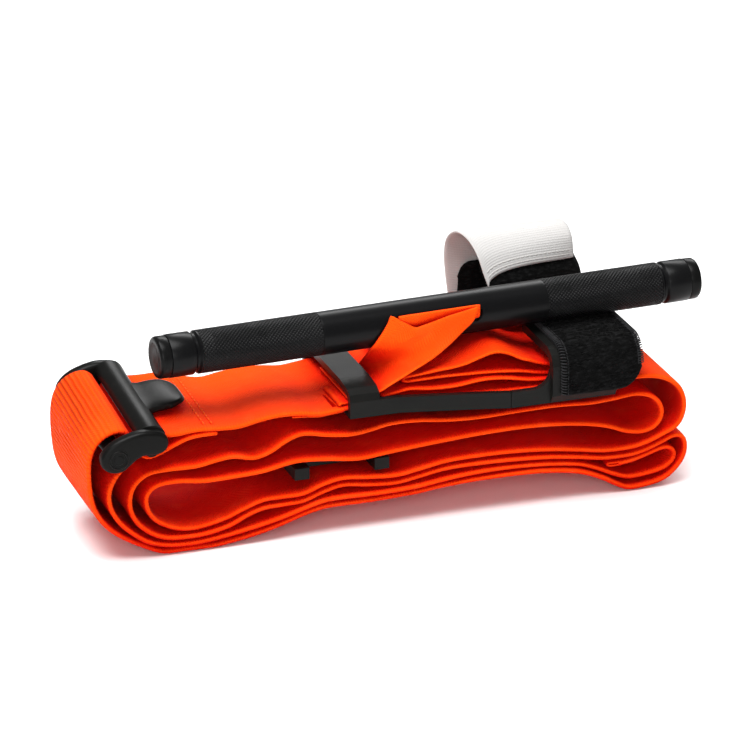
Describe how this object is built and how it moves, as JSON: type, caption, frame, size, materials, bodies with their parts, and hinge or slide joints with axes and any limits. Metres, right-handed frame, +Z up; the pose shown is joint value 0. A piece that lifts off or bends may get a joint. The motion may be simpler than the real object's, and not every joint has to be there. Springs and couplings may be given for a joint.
{
  "type": "windlass tourniquet",
  "caption": "Limb tourniquet folded for storage: webbing band with buckle, stabiliser plate, hooked clip, slotted windlass rod and time strap.",
  "frame": {"origin": "centre of the overall box in X and Y, on the surface the folded pack lies on", "axes": "+Z up, +X along the folded band from the buckle to the clip, -Y the side the ribbon leaves the rod on"},
  "size_m": [0.1914, 0.0518, 0.0714],
  "materials": {
    "webbing_orange": "woven",
    "ribbon_orange": "woven",
    "thread_orange": "thread",
    "plastic_black": "satin",
    "pile_black": "loop pile",
    "thread_black": "thread",
    "rod_black": "black anodised, satin",
    "pin_black": "blackened",
    "tape_white": "woven tape",
    "thread_white": "thread"
  },
  "bodies": {
    "band": {"band_webbing": "webbing_orange", "band_tip_hem": "webbing_orange", "end_loop_stitches": "thread_orange", "upper_sleeve_ply": "webbing_orange", "lower_sleeve_ply": "webbing_orange", "ribbon_anchor_run": "ribbon_orange", "windlass_ribbon": "ribbon_orange", "stabiliser_plate": "plastic_black", "windlass_clip": "plastic_black", "near_pile_cover": "pile_black", "far_pile_cover": "pile_black", "near_cover_edging": "thread_black", "far_cover_edging": "thread_black", "time_strap_base": "tape_white", "time_strap_base_stitch": "thread_white", "buckle_frame": "plastic_black"},
    "windlass": {"windlass_rod": "rod_black", "rod_cap_left": "rod_black", "rod_cap_right": "rod_black"},
    "time_flap": {"time_strap": "tape_white", "time_strap_hook": "pile_black", "time_strap_backing": "pile_black", "time_strap_stitches": "thread_white"},
    "pin": {"buckle_pin": "pin_black"},
    "keeper": {"strap_keeper": "plastic_black"}
  },
  "joints": [
    {"name": "windlass_turn", "type": "hinge", "parent": "band", "child": "windlass", "pos_m": [0.0115, -0.0059, 0.0563], "axis": [0, 0, 1], "range_deg": [-95, 0], "deforming": ["windlass_ribbon"]},
    {"name": "time_flap_open", "type": "hinge", "parent": "band", "child": "time_flap", "pos_m": [0.044, 0.0248, 0.049], "axis": [-1, 0, 0], "range_deg": [0, 120]},
    {"name": "pin_turn", "type": "hinge", "parent": "band", "child": "pin", "pos_m": [-0.0872, -0.0011, 0.0333], "axis": [0, 1, 0], "continuous": true},
    {"name": "keeper_slide", "type": "slide", "parent": "band", "child": "keeper", "axis": [1, 0, 0], "range_m": [-0.006, 0.006]}
  ]
}
